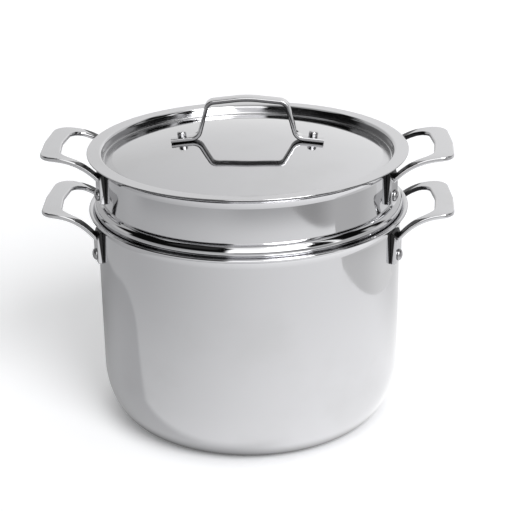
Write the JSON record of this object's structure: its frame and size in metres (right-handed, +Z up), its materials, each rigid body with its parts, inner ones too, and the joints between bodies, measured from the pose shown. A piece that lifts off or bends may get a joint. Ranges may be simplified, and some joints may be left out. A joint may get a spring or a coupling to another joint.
{
  "type": "steamer pot",
  "caption": "Tall polished steel stock pot with a lift-out perforated steamer insert, loop handles riveted on both sides, and a domed lid with an arched strap handle.",
  "frame": {"origin": "centre of the pot's flat base, on the surface it stands on", "axes": "+Z up through the lid, X along the line of the side handles, -Y towards the viewer of the picture"},
  "size_m": [0.3298, 0.2574, 0.2651],
  "materials": {
    "polished_sheet": "mirror-polished stainless steel sheet",
    "polished_casting": "polished stainless steel casting",
    "rivet_steel": "polished stainless steel rivet"
  },
  "bodies": {
    "pot": {"pot_body": "polished_sheet", "pot_handle_left": "polished_casting", "pot_handle_right": "polished_casting", "pot_rivet_left_front": "rivet_steel", "pot_rivet_left_back": "rivet_steel", "pot_rivet_right_front": "rivet_steel", "pot_rivet_right_back": "rivet_steel"},
    "insert": {"insert_body": "polished_sheet", "insert_handle_left": "polished_casting", "insert_handle_right": "polished_casting", "insert_rivet_left_front": "rivet_steel", "insert_rivet_left_back": "rivet_steel", "insert_rivet_right_front": "rivet_steel", "insert_rivet_right_back": "rivet_steel"},
    "lid": {"lid_body": "polished_sheet", "lid_handle": "polished_casting", "lid_rivet_left": "rivet_steel", "lid_rivet_right": "rivet_steel"}
  },
  "joints": [
    {"name": "insert_lift", "type": "slide", "parent": "pot", "child": "insert", "axis": [0, 0, 1], "range_m": [0, 0.15]},
    {"name": "lid_lift", "type": "slide", "parent": "insert", "child": "lid", "axis": [0, 0, 1], "range_m": [0, 0.06]}
  ]
}
